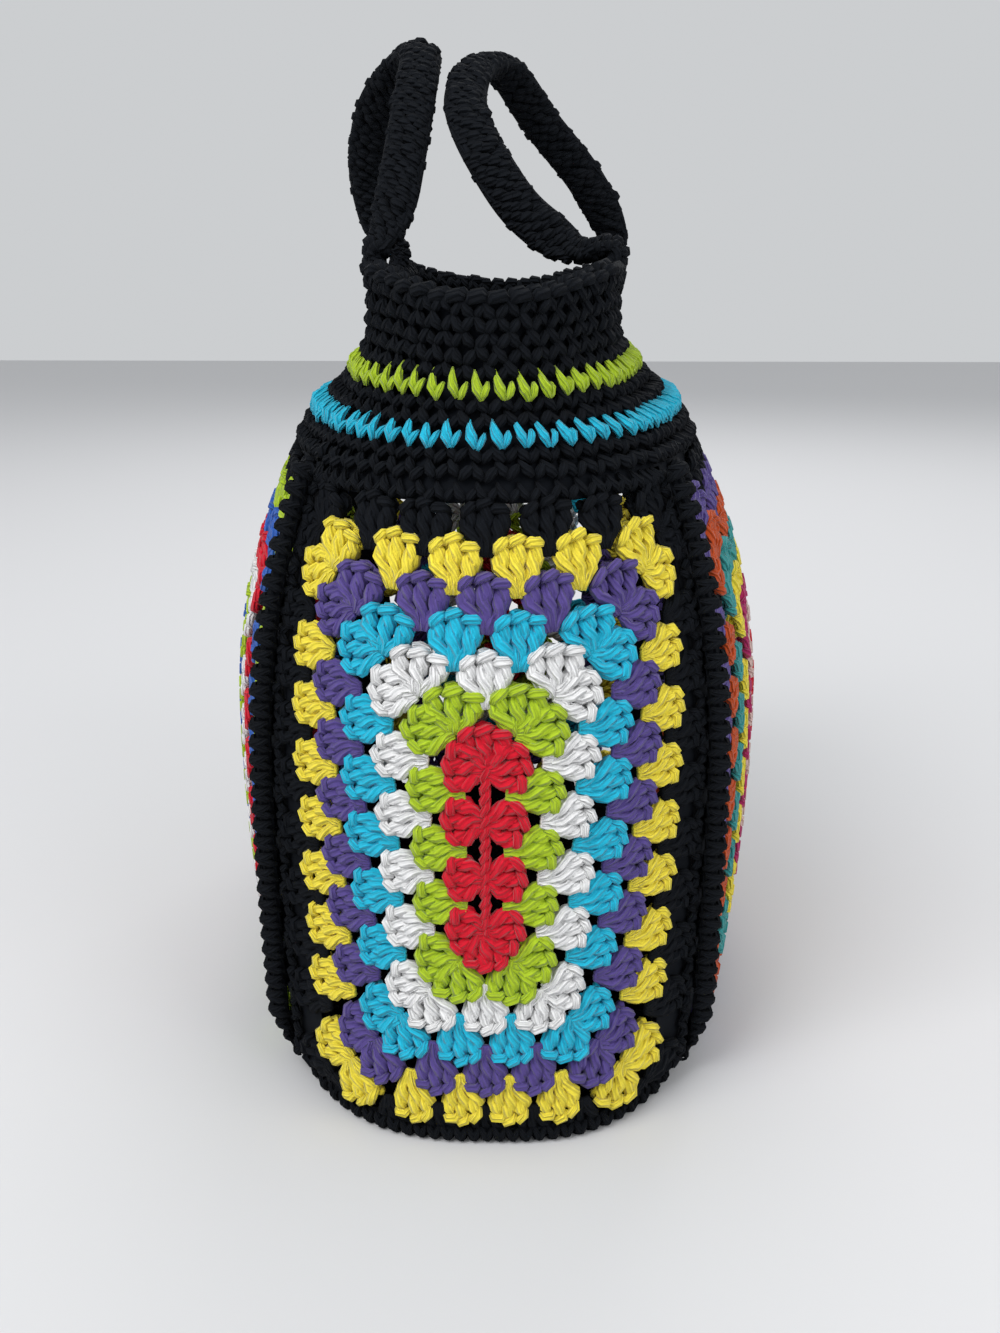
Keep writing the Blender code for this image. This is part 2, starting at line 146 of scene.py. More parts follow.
class Skein:
    """Collects the strands and sheets of one piece of fabric."""

    triangles = {}  # of every finished piece

    def __init__(self):
        self.points, self.quads, self.uvs, self.count = [], [], [], 0

    def add(self, points, quads, uvs):
        """Takes in the points, faces and UV corners of more yarn."""
        self.points.append(points.reshape(-1, 3))
        self.quads.append(quads.reshape(-1, 4) + self.count)
        self.uvs.append(uvs.reshape(-1, 4, 2))
        self.count += self.points[-1].shape[0]

    def strands(self, paths, radii, normals):
        """Tubes round paths (n, k, 3) with radii (n, k), in millimetres."""
        n, k = paths.shape[:2]
        radii = np.broadcast_to(radii, (n, k))
        along = unit(np.gradient(paths, axis=1))
        right = unit(np.cross(along, np.broadcast_to(normals, paths.shape)))
        up = np.cross(right, along)
        turn = np.arange(SIDES) * 2 * math.pi / SIDES
        ring = (paths[:, :, None] + radii[:, :, None, None] *
                (np.cos(turn)[:, None] * right[:, :, None] - np.sin(turn)[:, None] * up[:, :, None]))
        index = np.arange(n * k * SIDES).reshape(n, k, SIDES)
        after = np.roll(index, -1, axis=2)
        quads = np.stack([index[:, :-1], after[:, :-1], after[:, 1:], index[:, 1:]], axis=-1)
        way = np.cumsum(np.linalg.norm(np.diff(paths, axis=1, prepend=paths[:, :1]), axis=2), axis=1)
        way = way + rng.uniform(0, LONGEST_START, (n, 1))
        u = np.broadcast_to(way[:, :, None], (n, k, SIDES))
        v = np.broadcast_to(np.arange(SIDES) / SIDES, (n, k, SIDES))
        uvs = np.stack([np.stack([u[:, :-1], u[:, :-1], u[:, 1:], u[:, 1:]], axis=-1),
                        np.stack([v[:, :-1], v[:, :-1] + 1 / SIDES, v[:, 1:] + 1 / SIDES, v[:, 1:]], axis=-1)],
                       axis=-1)
        ends = np.concatenate([index[:, 0][:, CAPS], index[:, -1][:, CAPS[:, ::-1]]]).reshape(-1, 4)
        self.add(ring, np.concatenate([quads.reshape(-1, 4), ends]),
                 np.concatenate([uvs.reshape(-1, 4, 2), np.zeros((len(ends), 4, 2))]))

    def sheet(self, grid, thickness, normals):
        """Two skins over a grid of points (rows, columns, 3), so that it is seen from both sides."""
        rows, columns = grid.shape[:2]
        index = np.arange(rows * columns).reshape(rows, columns)
        quads = np.stack([index[:-1, :-1], index[:-1, 1:], index[1:, 1:], index[1:, :-1]], axis=-1).reshape(-1, 4)
        for sign, order in ((1, slice(None)), (-1, slice(None, None, -1))):
            self.add(grid + sign * thickness / 2 * normals, quads[:, order], np.zeros((len(quads), 4, 2)))

    def piece(self, name, material, *nodes):
        """Makes the mesh, which stands for the CAD nodes and rides with the bag."""
        points = np.concatenate(self.points) / 1000
        points[:, 2] = np.maximum(points[:, 2], TABLE_GAP)
        quads = np.concatenate(self.quads)
        uvs = np.concatenate(self.uvs)
        Skein.triangles[name] = 2 * len(quads)
        mesh = bpy.data.meshes.new(name)
        mesh.vertices.add(len(points))
        mesh.vertices.foreach_set("co", points.ravel().astype(np.float32))
        mesh.loops.add(quads.size)
        mesh.loops.foreach_set("vertex_index", quads.ravel().astype(np.int32))
        mesh.polygons.add(len(quads))
        mesh.polygons.foreach_set("loop_start", np.arange(0, quads.size, 4, dtype=np.int32))
        mesh.update(calc_edges=True)
        mesh.uv_layers.new(name="yarn").data.foreach_set("uv", uvs.ravel().astype(np.float32))
        mesh.shade_smooth()
        mesh.materials.append(material)
        made = bpy.data.objects.new(name, mesh)
        bpy.context.scene.collection.objects.link(made)
        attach(made, "root")
        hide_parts(*nodes)


print("strands have", SIDES, "sides")

# %% [markdown]
# Matt cotton has no shine of its own, only a soft bloom of loose fibres at grazing light. Its plies show as fine
# grooves that run along the strand with a slow twist. They could be modelled too, but at this distance a bump from
# the strand's own UV map does as well. The grooves also get painted shade, a darker colour, and the dye varies a
# little from stitch to stitch.

# %% Cotton
COLOURS = {
    "black": (0.005, 0.0065, 0.0095), "red": (0.68, 0.006, 0.025), "lime": (0.43, 0.60, 0.022),
    "white": (0.86, 0.86, 0.86), "cyan": (0.015, 0.50, 0.72), "purple": (0.10, 0.068, 0.27),
    "yellow": (0.92, 0.76, 0.06), "orange": (0.58, 0.08, 0.013), "teal": (0.043, 0.33, 0.33),
    "magenta": (0.46, 0.022, 0.14), "pink": (0.74, 0.53, 0.48), "blue": (0.028, 0.115, 0.48),
}


class Socket:
    """A shader value that takes part in Python expressions."""

    def __init__(self, tree, source):
        self.tree, self.source = tree, source

    def node(self, kind, inputs, output=0, **settings):
        """Adds a node of this kind, fed by numbers or other sockets, and returns one of its outputs."""
        made = self.tree.nodes.new(kind)
        for key, value in settings.items():
            setattr(made, key, value)
        for key, value in inputs.items():
            if isinstance(value, Socket):
                self.tree.links.new(value.source, made.inputs[key])
            else:
                made.inputs[key].default_value = value
        return Socket(self.tree, made.outputs[output])

    def math(self, operation, *values):
        """A Math node over these values."""
        return self.node("ShaderNodeMath", dict(enumerate(values)), operation=operation)

    def __add__(self, other):
        return self.math("ADD", self, other)

    def __mul__(self, other):
        return self.math("MULTIPLY", self, other)

    def __sub__(self, other):
        return self.math("SUBTRACT", self, other)

    def __rsub__(self, other):
        return self.math("SUBTRACT", other, self)

    __radd__, __rmul__ = __add__, __mul__

    def sin(self):
        """The sine of the value."""
        return self.math("SINE", self)


PLIES, PLY_TWIST, PLY_DEPTH, PLY_DISTANCE = 6, 0.8, 0.8, 0.001
# painted shade: the colour is made darker in the grooves between the plies
GROOVE_SHADE_POWER, GROOVE_SHADE_SHARE = 1.2, 0.56  # a groove's colour is deeper and darker than the yarn's
BLOTCH_SCALE, BLOTCH_SHARE, FIBRE_SCALE, FIBRE_SHARE = 140.0, 0.3, 1.6, 0.8
FIBRE_ALONG, FIBRE_ROUND = 0.22, 9.0  # fibres are long and thin, so their noise is stretched
PLY_SHADE_SHARE, LIGHTNESS = 0.44, 0.68


def cotton(colour):
    """Matt cotton yarn of one colour."""
    material = bpy.data.materials.new(colour + "_yarn")
    material.use_nodes = True
    tree = material.node_tree
    shader = tree.nodes["Principled BSDF"]
    start = Socket(tree, None)
    uv = start.node("ShaderNodeUVMap", {}, uv_map="yarn")
    u, v = (start.node("ShaderNodeSeparateXYZ", {0: uv}, output=axis) for axis in (0, 1))
    ply = (2 * math.pi * (PLIES * v) + u * PLY_TWIST).sin() * 0.5 + 0.5
    place = start.node("ShaderNodeTexCoord", {}, output=3)
    blotch = start.node("ShaderNodeTexNoise", {0: place, "Scale": BLOTCH_SCALE, "Detail": 2.0})
    lengthwise = start.node("ShaderNodeCombineXYZ", {0: u * FIBRE_ALONG, 1: v * FIBRE_ROUND})
    fibre = start.node("ShaderNodeTexNoise", {0: lengthwise, "Scale": FIBRE_SCALE, "Detail": 3.0})
    # the mix factor: painted shade in the ply grooves, with the dye's blotches and the fibres' grain
    groove_shade_and_dye = ply * PLY_SHADE_SHARE + LIGHTNESS + (blotch - 0.5) * BLOTCH_SHARE + (fibre - 0.5) * FIBRE_SHARE
    base = COLOURS[colour]
    # the dark end of the mix, for the painted shade in the grooves and the darker dye
    groove_shade_and_dye_dark = tuple(channel ** GROOVE_SHADE_POWER * GROOVE_SHADE_SHARE for channel in base)
    tint = start.node("ShaderNodeMix", {0: groove_shade_and_dye, 6: (*groove_shade_and_dye_dark, 1), 7: (*base, 1)}, output=2, data_type="RGBA",
                      clamp_factor=True)
    tree.links.new(tint.source, shader.inputs["Base Color"])
    bump = start.node("ShaderNodeBump", {"Height": ply + fibre, "Strength": PLY_DEPTH, "Distance": PLY_DISTANCE})
    tree.links.new(bump.source, shader.inputs["Normal"])
    shader.inputs["Roughness"].default_value = 0.92
    shader.inputs["Specular IOR Level"].default_value = 0.2 if colour != "black" else 0.13
    shader.inputs["Sheen Weight"].default_value = 0.12 if colour != "black" else 0.0
    shader.inputs["Sheen Roughness"].default_value = 0.5
    material.diffuse_color = (*base, 1)
    return material


YARN = {colour: cotton(colour) for colour in COLOURS}
print("yarns", ", ".join(YARN))

# %% [markdown]
# A cluster is three trebles worked into one space, so it is narrow at its foot and fans out to a wide top. Each
# treble is a post of two strands: they lie side by side at the foot and wind round each other above it, which
# shows as fat slanting wraps. A chain loop in front and one behind lie over the top of each post. The yarn of a real
# treble also passes through the stitch below. That is hidden, so each cluster only reaches down behind that stitch.

# %% Clusters of trebles
# one post: way up it, angle of its two strands, their radius and their distance from its middle
POST = np.array([0.0, 0.14, 0.28, 0.42, 0.55, 0.68, 0.81, 0.93])
POST_WIND = 2 * math.pi * 0.9 * np.clip((POST - 0.3) / 0.7, 0, 1) ** 0.9
POST_RADIUS = np.array([0.8, 1.2, 1.5, 1.7, 1.85, 1.9, 1.8, 1.4])
POST_SPREAD = np.array([0.5, 0.8, 0.95, 1.1, 1.2, 1.2, 1.1, 0.6])
# one loop of the chain on top
LOOP_RIGHT = np.array([-2.2, -1.1, 0.9, 2.1])
LOOP_OUT = np.array([-1.1, 0.0, 0.8, 0.8])
LOOP_FRONT = np.array([0.5, 1.9, 1.9, 0.5])
LOOP_RADIUS = np.array([0.95, 1.45, 1.45, 0.95])
LOOP_LIFT = 0.1  # over the top of the post
# distance between trebles at the foot and at the top, between loops, and how much the outer two turn and drop
FOOT_WIDTH, TREBLE_WIDTH, LOOP_PITCH, TURN_OUT, DROP = 0.8, 4.3, 4.1, 0.4, 1.6
CORNER_FOOT, CORNER_PULL, CORNER_DEPTH = 1.5, 1.8, 2.2  # the two clusters of a corner lean away from each other
CORNER_SPREAD, ROW_SPREAD, FIRST_SPREAD = 1.18, 1.14, 1.2  # in corners, in level rows and in the first round
WANDER = 0.35  # mm; no two clusters are quite alike


def smooth(x):
    """A soft step from 0 to 1."""
    x = np.clip(x, 0, 1)
    return x * x * (3 - 2 * x)


def cluster(foot, top, spread=1.0):
    """Three trebles from a foot to a top in flat fabric: the paths of their posts and of their chain loops."""
    axis = top - foot
    length = np.linalg.norm(axis)
    up = axis / length
    right = np.array([up[1], -up[0]])
    posts, loops = [], []
    for treble in (-1, 0, 1):
        lean = rng.normal(0, 0.25)
        size = rng.normal(1, 0.05)
        middle = treble * spread * (FOOT_WIDTH + (TREBLE_WIDTH - FOOT_WIDTH) * smooth(POST / 0.6)) + lean * POST
        out = length * POST - DROP * abs(treble) * POST + rng.normal(0, 0.15)
        for strand in (0, 1):
            wind = math.pi * strand + POST_WIND + rng.normal(0, 0.12)
            side = middle + POST_SPREAD * np.cos(wind) * size
            front = 0.6 * (1 - smooth(POST / 0.4)) + POST_SPREAD * 0.85 * np.sin(wind) * size
            posts.append(np.stack([*(foot[:, None] + right[:, None] * side + up[:, None] * out), front], axis=-1))
        turn = -treble * TURN_OUT
        for sign in (1, -1):
            side, rise = LOOP_RIGHT * spread * sign, LOOP_OUT + rng.normal(0, 0.15)
            side, rise = side * math.cos(turn) - rise * math.sin(turn), side * math.sin(turn) + rise * math.cos(turn)
            side, rise = side + treble * spread * LOOP_PITCH + lean, rise + out[-1] + LOOP_LIFT
            loops.append(np.stack([*(foot[:, None] + right[:, None] * side + up[:, None] * rise),
                                   sign * LOOP_FRONT], axis=-1))
    return posts, loops


def lay(face, size, paths):
    """Paths in flat fabric (n, k, 3) on one face of the bag, with the directions out of it."""
    across, height = paths[..., 0] / size[0], 0.5 + paths[..., 1] / (2 * size[1])
    if face in ("near", "far"):
        full = FULLNESS * np.maximum(height, 0) ** FULLNESS_CURVE
        across = across * (1 + full * (1 - (paths[..., 0] / (size[0] - SEAM_HOLD)) ** 2))
    normals = outward(face, across, height)
    return wall(face, across, height) + normals * paths[..., 2:], normals


def turned(side, along, out, spine):
    """From (along, out) on one side of a round to the panel's (across, up)."""
    return np.array([(along, -out - spine), (out, along), (-along, out + spine), (-out, -along)][side])


def round_of_clusters(skein, face, size, number, spine, foot_depth=4.8, top_rise=0.9):
    """All the clusters of one round. A round has one cluster more on each side than the round inside it."""
    posts, loops = [], []
    inner, outer = (number - 1) * ROUND, number * ROUND
    for side in range(4):
        upright = side % 2
        long = spine * upright
        cells = number + round(2 * long / CLUSTER)
        half = outer + long
        for cell in range(cells):
            corners = (cell == 0) + (cell == cells - 1)
            start = (cell - cells / 2) * CLUSTER if cell else -half
            end = (cell + 1 - cells / 2) * CLUSTER if cell < cells - 1 else half
            top, foot = (start + end) / 2, (start + end) / 2
            depth = foot_depth
            if corners == 1:
                foot = math.copysign(inner + long - CORNER_FOOT, start + end)
                top = top - math.copysign(CORNER_PULL, start + end)
                depth = CORNER_DEPTH
            depth = depth if number > 1 else 0.0
            wander = rng.normal(0, WANDER, 4)
            a = turned(side, foot + wander[0] * 0.5, inner - depth + wander[1] * 0.5, spine if not upright else 0)
            b = turned(side, top + wander[2], outer + top_rise + wander[3], spine if not upright else 0)
            spread = (CORNER_SPREAD if corners else 1.0) * (1.0 if upright or not spine else ROW_SPREAD)
            if number == 1:
                spread = FIRST_SPREAD
            more_posts, more_loops = cluster(a, b, spread)
            posts += more_posts
            loops += more_loops
    for paths, radii in ((posts, POST_RADIUS), (loops, LOOP_RADIUS)):
        points, normals = lay(face, size, np.array(paths))
        skein.strands(points, radii * rng.normal(1, 0.04, (len(points), 1)), normals)


print("a post has", len(POST), "points and a loop", len(LOOP_RIGHT))

# %% [markdown]
# Short stitches are a V each: a long left leg that starts as a spike from the row above, and a shorter right leg.
# They make the edging of the end panels, the whole band and the base. A displaced sheet would give their relief but
# not their undercuts, which is where black fabric gets its depth from. In a row of its own colour the V is slimmer
# and its legs reach over the rows above and below, so it has a shape of its own.

# %% Short stitches
LEFT_LEG = np.array([(-2.7, 3.3, 0.9), (-2.3, 1.6, 1.6), (-1.2, -0.2, 2.3), (0.1, -1.6, 1.7)])
LEFT_RADIUS = np.array([0.45, 1.05, 1.4, 0.9])
RIGHT_LEG = np.array([(3.2, 1.3, 1.2), (2.5, 0.3, 1.9), (1.4, -1.0, 2.1), (0.5, -2.2, 1.2)])
RIGHT_RADIUS = np.array([0.75, 1.25, 1.25, 0.75])
LEAF = ((np.array([(-1.9, 4.8, 0.6), (-1.6, 2.2, 1.6), (-0.9, -0.6, 2.4), (0.4, -3.5, 1.6)]),
         np.array([0.35, 1.05, 1.6, 0.8])),
        (np.array([(2.4, 1.0, 1.0), (2.2, -0.5, 2.1), (1.6, -2.1, 2.3), (0.7, -3.7, 1.4)]),
         np.array([0.6, 1.05, 1.1, 0.6])))
SHORT = ((LEFT_LEG, LEFT_RADIUS), (RIGHT_LEG, RIGHT_RADIUS))
BACKING, BEHIND = 1.6, 0.7  # thickness of the sheets behind the stitches, and how far in they lie
STRIP_STEPS, UNDER_BAND = 40, 1.3
TOP_STRIP = 5.5  # at the top of a panel the strip is narrow, so that the gaps there stay open


def short_stitches(skein, centres, rights, ups, normals, scale=1.0, high=1.0, jitter=0.2, fat=1.0, shape=SHORT):
    """A V-shaped stitch at each centre (n, 3), with its own directions. high is its relief, fat its yarn."""
    n = len(centres)
    for leg, radius in shape:
        spot = leg[None] * np.array([scale, scale, high]) + rng.normal(0, jitter, (n, 1, 3))
        paths = (centres[:, None] + rights[:, None] * spot[..., :1] + ups[:, None] * spot[..., 1:2]
                 + normals[:, None] * spot[..., 2:])
        skein.strands(paths, radius * scale * fat * rng.normal(1, 0.05, (n, 1)),
                      np.repeat(normals[:, None], 4, axis=1))


def panel_edging(skein, face, size, inner, outer, pitch=6.2):
    """A row of short stitches round the edge of a panel."""
    spots, rights, ups = [], [], []
    middle = (inner + outer) / 2
    for side in range(4):
        upright = side % 2
        half = middle + (size[1] - size[0]) * upright
        steps = round(2 * half / pitch)
        for step in range(steps):
            along = -half + (step + 0.5) * 2 * half / steps
            spots.append(turned(side, along, middle, 0 if upright else size[1] - size[0]))
            rights.append(-turned(side, 1, 0, 0))
            ups.append(turned(side, 0, 1, 0))
    spots, rights, ups = np.array(spots), np.array(rights), np.array(ups)
    base = np.concatenate([spots, np.zeros((len(spots), 1))], axis=1)
    points, normals = lay(face, size, base)
    right_points, _ = lay(face, size, base + np.concatenate([rights, np.zeros((len(spots), 1))], axis=1))
    up_points, _ = lay(face, size, base + np.concatenate([ups, np.zeros((len(spots), 1))], axis=1))
    short_stitches(skein, points, unit(right_points - points), unit(up_points - points), normals, 0.95)


def edge_backing(skein, face, size, inner):
    """A strip behind the edge of a panel, which reaches under the first row of the band."""
    grid = []
    for out in (inner, size[0] + UNDER_BAND):
        wide, tall = min(out, size[0] - SEAM_HOLD - 1), out + size[1] - size[0]
        top = max(out, size[0] - TOP_STRIP) + size[1] - size[0]
        ring = [turned(side, step * (tall if side % 2 else wide), (tall, wide, top, wide)[side], 0)
                for side in range(4) for step in np.linspace(-1, 1, STRIP_STEPS, endpoint=False)]
        grid.append(ring + ring[:1])
    grid = np.array(grid)
    flat, normals = lay(face, size, np.concatenate([grid, np.full(grid.shape[:2] + (1,), -BEHIND)], axis=2))
    skein.sheet(flat, BACKING, normals)


print("a short stitch has", len(SHORT), "legs")

# %% [markdown]
# A braid is a ridge of stitches that lie slanting over it. It covers the seams, and it runs along the fold where
# each panel turns under the bag. A twisted rope would look alike from afar, but its strands go right round, and
# these pair up in a row of chevrons.

# %% Braids
BRAID = np.array([-110, -70, -30, 10, 50, 90]) * math.pi / 180  # angles over the ridge
BRAID_RADIUS, BRAID_SLANT, FOLD_PITCH, FOLD_INSET, FOLD_OUT, FOLD_SIZE = 3.1, 3.4, 5.2, 10.5, 1.9, 0.8
BRAID_YARN = np.array([0.7, 1.2, 1.45, 1.45, 1.2, 0.7])
FOLD_CORE, FOLD_TAPER = 2.0, 0.1


def braid(skein, points, outs, rights, along, size):
    """Slanting stitches over a ridge through points (n, 3). size makes them smaller towards an end."""
    paths = []
    for sign in (1, -1):
        over = np.cos(BRAID)[:, None] * outs[:, None] + sign * np.sin(BRAID)[:, None] * rights[:, None]
        paths.append(points[:, None] + BRAID_RADIUS * size[:, None, None] * over
                     + along[:, None] * (np.linspace(-0.5, 0.5, len(BRAID))[:, None] * BRAID_SLANT))
    paths = np.concatenate(paths)
    normals = np.concatenate([np.repeat(outs[:, None], len(BRAID), axis=1)] * 2)
    radii = BRAID_YARN * np.tile(size, 2)[:, None]
    skein.strands(paths, radii * rng.normal(1, 0.05, (len(paths), 1)), normals)


def fold_braid(skein, face, size):
    """The braid along the bottom edge of a panel."""
    count = round(2 * size[0] / FOLD_PITCH)
    spots = np.stack([np.linspace(1 - size[0], size[0] - 1, count), np.full(count, FOLD_INSET - size[1]),
                      np.full(count, FOLD_OUT)], axis=1)
    points, normals = lay(face, size, spots)
    along = unit(np.gradient(points, axis=0))
    ends = 0.5 + 0.5 * smooth((1 - np.abs(np.linspace(-1, 1, count))) / FOLD_TAPER)
    braid(skein, points, normals, unit(np.cross(along, normals)), along, FOLD_SIZE * ends)
    skein.strands(points[None], FOLD_CORE * ends[None], normals[None])


print("a braid has stitches over", len(BRAID), "angles")

# %% [markdown]
# The four panels. The end panels start from a chain and their rounds are taller than wide. The side panels start
# from a ring. Each ends in a black round of clusters, and the end panels in a row of short stitches as well. Each
# round could be an array of one cluster, but every cluster has its own lean and size, as hand work has.

# %% Panels
END_COLOURS = ["red", "lime", "white", "cyan", "purple", "yellow"]
RIGHT_COLOURS = ["yellow", "teal", "red", "pink", "magenta", "yellow", "teal", "orange", "purple"]
LEFT_COLOURS = ["white", "yellow", "red", "blue", "lime", "white", "red", "blue", "lime"]
CHAIN_STEPS, CHAIN_TURN, CHAIN_RADIUS = 30, 1.6, 1.1
BORDER_SINK, BACKED, BACKED_ROUNDS = -2.2, 1.5, 3  # the side borders' last tops lie under the band and the seams
for label, face, colours, size, spine in (("near_end", "near", END_COLOURS, END_SIZE, SPINE),
                                          ("far_end", "far", END_COLOURS, END_SIZE, SPINE),
                                          ("right_side", "right", RIGHT_COLOURS, SIDE_SIZE, 0),
                                          ("left_side", "left", LEFT_COLOURS, SIDE_SIZE, 0)):
    for number, colour in enumerate(colours, start=1):
        skein = Skein()
        round_of_clusters(skein, face, size, number, spine)
        node = f"{label}_round_{number}_{colour}"
        skein.piece(node + "_yarn", YARN[colour], node)
    skein = Skein()
    last = len(colours) + 1
    round_of_clusters(skein, face, size, last, spine, top_rise=0.0 if spine else BORDER_SINK)
    if spine:
        panel_edging(skein, face, size, last * ROUND, size[0] - SEAM_HOLD)
    edge_backing(skein, face, size, (last - 1 if spine else last - BACKED_ROUNDS) * ROUND + BACKED)
    fold_braid(skein, face, size)
    skein.piece(f"{label}_border_yarn", YARN["black"], f"{label}_border")
    if spine:
        skein = Skein()
        heights = np.linspace(-spine, spine, CHAIN_STEPS)
        chain = np.array([[(math.sin(step * CHAIN_TURN + phase) * 0.9, up, 0.3 + math.cos(step * CHAIN_TURN + phase))
                           for step, up in enumerate(heights)] for phase in (0, math.pi)])
        points, normals = lay(face, size, chain)
        skein.strands(points, np.full((2, CHAIN_STEPS), CHAIN_RADIUS), normals)
        skein.piece(f"{label}_centre_chain_yarn", YARN["red"], f"{label}_centre_chain")
    print(label, "done")

# %% [markdown]
# The band goes right round the mouth. It is worked in rounds, so it could be one spiral, but its coloured rows are
# closed rings. The stitches of each row stand over the gaps of the row below, and a thin sheet behind them closes the
# fabric, as the backs of the stitches do. The rim rows have stitches on the inside too, where one looks in.

# %% Band
FACES = ("near", "right", "far", "left")
FACE_STEPS = 240


def around(height, count, shift):
    """Evenly spaced places round the bag at one height: points, directions round, up and out."""
    across = np.linspace(-1, 1, FACE_STEPS + 1)
    ring = np.concatenate([wall(face, across[:-1], np.full(FACE_STEPS, height)) for face in FACES])
    way = np.concatenate([[0], np.cumsum(np.linalg.norm(np.diff(np.concatenate([ring, ring[:1]]), axis=0), axis=1))])
    spots = np.interp((np.arange(count) + shift) / count * way[-1], way, np.arange(4 * FACE_STEPS + 1))
    points, ups, normals, rights = [], [], [], []
    for spot in spots:
        face = FACES[int(spot // FACE_STEPS) % 4]
        place = np.array(spot % FACE_STEPS / (FACE_STEPS / 2) - 1)
        here = wall(face, place, np.array(height))
        up = unit(wall(face, place, np.array(height + STEP)) - wall(face, place, np.array(height - STEP)))
        out = outward(face, place, np.array(height))
        points.append(here)
        ups.append(up)
        normals.append(out)
        rights.append(unit(np.cross(up, out)))
    return (np.array(made) for made in (points, rights, ups, normals))


BAND_ROWS = [("band_lower_rows", 2, "black"), ("band_cyan_row", 1, "cyan"), ("band_middle_rows", 2, "black"),
             ("band_lime_row", 1, "lime"), ("band_rim_rows", 5, "black")]
ROWS = sum(rows for _, rows, _ in BAND_ROWS)
STITCHES = 98  # in each row
COLOUR_OUT, INSIDE_IN = 1.5, 1.5  # coloured stitches stand out, and those of the inside lie further in
BACKING_ROWS, BACKING_COLUMNS = 7, 160
RIM_LOOP = np.array([(-2.9, -0.9, 0.6), (-1.2, 0.7, 1.7), (1.2, 1.1, 1.7), (2.9, -0.1, 0.6)])
RIM_YARN = np.array([0.9, 1.8, 1.8, 0.9])


def backing(skein, low, high):
    """A sheet behind the stitches of the band, from one height to another."""
    grid, normals = [], []
    for step in range(BACKING_ROWS):
        points, _, _, out = around(low + (high - low) * step / (BACKING_ROWS - 1), BACKING_COLUMNS, 0)
        grid.append(np.concatenate([points, points[:1]]))
        normals.append(np.concatenate([out, out[:1]]))
    grid, normals = np.array(grid), np.array(normals)
    skein.sheet(grid - BEHIND * normals, BACKING, normals)


def rim_chain(skein):
    """The chain of fat loops that tops the last row."""
    points, rights, ups, normals = around(1.995, STITCHES, 0.25)
    for sign in (1, -1):
        spot = RIM_LOOP * [1, 1, sign] + rng.normal(0, 0.3, (STITCHES, 1, 3))
        paths = (points[:, None] + rights[:, None] * spot[..., :1] + ups[:, None] * spot[..., 1:2]
                 + normals[:, None] * spot[..., 2:])
        skein.strands(paths, RIM_YARN, np.repeat(normals[:, None], 4, axis=1))


row = 0
for name, rows, colour in BAND_ROWS:
    skein = Skein()
    dark = colour == "black"
    for _ in range(rows):
        height = 1 + (row + 0.5) / ROWS
        points, rights, ups, normals = around(height, STITCHES, 0.5 * (row % 2))
        last = row == ROWS - 1
        if dark:
            short_stitches(skein, points, rights, ups, normals, 1.0, 0.75 if last else 1.0, 0.3, 1.12)
        else:
            short_stitches(skein, points + COLOUR_OUT * normals, rights, ups, normals, 0.95, 1.0, 0.25, 1.0, LEAF)
        if name == "band_rim_rows":
            short_stitches(skein, points - INSIDE_IN * normals, -rights, ups, -normals, 0.95, 0.75, 0.3, 1.05)
        row += 1
    if dark:
        backing(skein, 1 + (row - rows) / ROWS, min(2.0, 1 + (row + 1) / ROWS))
    if last:
        rim_chain(skein)
    skein.piece(name + "_yarn", YARN[colour], name)
print("band rows", ROWS, "of", STITCHES, "stitches")

# %% [markdown]
# The panels are joined by black braids that stand on the corners. Each stitch of a braid lies slanting over the
# ridge from one panel to the other. They could lie flat, as sewn seams do, but in the photograph they stand up and
# cast a shadow on both panels. Each one gets small where it turns under the bag, and a strip closes the corner
# behind it.

# %% Seams
SEAM_STEPS, SEAM_START, SEAM_END, SEAM_TAPER, SEAM_SMALL = 36, 0.07, 0.985, 0.09, 0.35
SEAM_FOOT, SEAM_RISE, SEAM_CORE, STRIP_HALF = 1.6, 3.0, 2.2, 4.0


def corner(face, across, other, other_across, heights):
    """The line on which two faces meet: points, and the directions out, along and over it."""
    full = np.ones_like(heights)
    points = wall(face, full * across, heights)
    outs = unit(outward(face, full * across * 0.99, heights) + outward(other, full * other_across * 0.99, heights))
    along = unit(np.gradient(points, axis=0))
    return points, outs, along, unit(np.cross(along, outs))


for face, across, other, other_across, name in (("near", -1, "left", 1, "near_left"),
                                                ("near", 1, "right", -1, "near_right"),
                                                ("far", 1, "left", -1, "far_left"),
                                                ("far", -1, "right", 1, "far_right")):
    skein = Skein()
    heights = np.linspace(SEAM_START, SEAM_END, SEAM_STEPS)
    points, outs, along, rights = corner(face, across, other, other_across, heights)
    size = SEAM_SMALL + (1 - SEAM_SMALL) * smooth((heights - SEAM_START) / SEAM_TAPER)
    centres = points + outs * (SEAM_FOOT + SEAM_RISE * size)[:, None]
    braid(skein, centres, outs, rights, along, size)
    skein.strands(centres[None], SEAM_CORE * size[None], outs[None])
    edge, edge_out, _, over = corner(face, across, other, other_across, np.linspace(0.0, SEAM_END, STRIP_STEPS))
    strip = np.stack([edge - STRIP_HALF * over, edge, edge + STRIP_HALF * over])
    skein.sheet(strip - edge_out, BACKING, edge_out[None])
    skein.piece(f"corner_seam_{name}_yarn", YARN["black"], "corner_seam_" + name)
print("corner seams done")

# %% [markdown]
# The base is a rectangle of short stitches, which show inside the bag. A row of stitches joins it to the panels, and
# sheets close the fabric behind both. It could have stitches on both sides, but nobody sees the underside, so that
# stays plain.

